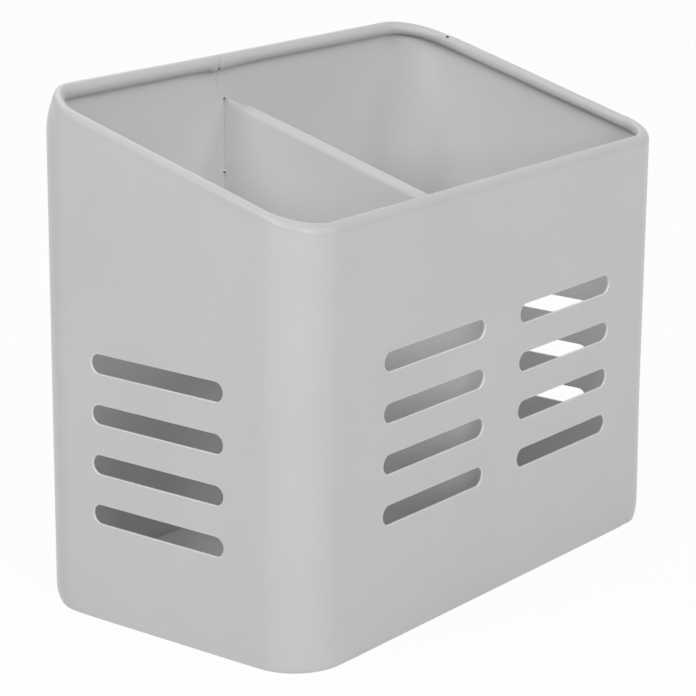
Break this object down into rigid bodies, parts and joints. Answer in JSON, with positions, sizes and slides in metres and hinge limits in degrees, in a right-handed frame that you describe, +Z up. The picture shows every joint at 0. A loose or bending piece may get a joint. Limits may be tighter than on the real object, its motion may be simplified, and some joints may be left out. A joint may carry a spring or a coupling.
{
  "type": "cutlery drainer",
  "caption": "Free-standing two-compartment steel cutlery drainer with a slanted rolled rim, slotted front and end walls, a fixed divider and a perforated base.",
  "frame": {"origin": "middle of the footprint, on the surface that the drainer stands on", "axes": "+X to the right along the wide front, +Y from the front to the back, +Z up"},
  "size_m": [0.1704, 0.095, 0.1426],
  "materials": {
    "coated_steel": "light warm grey powder coat, semi-gloss, fine orange peel"
  },
  "bodies": {
    "root": {"wall_band": "coated_steel", "seam_weld": "coated_steel", "base_tray": "coated_steel", "divider": "coated_steel", "divider_tacks": "coated_steel", "base_tacks": "coated_steel"}
  },
  "joints": []
}
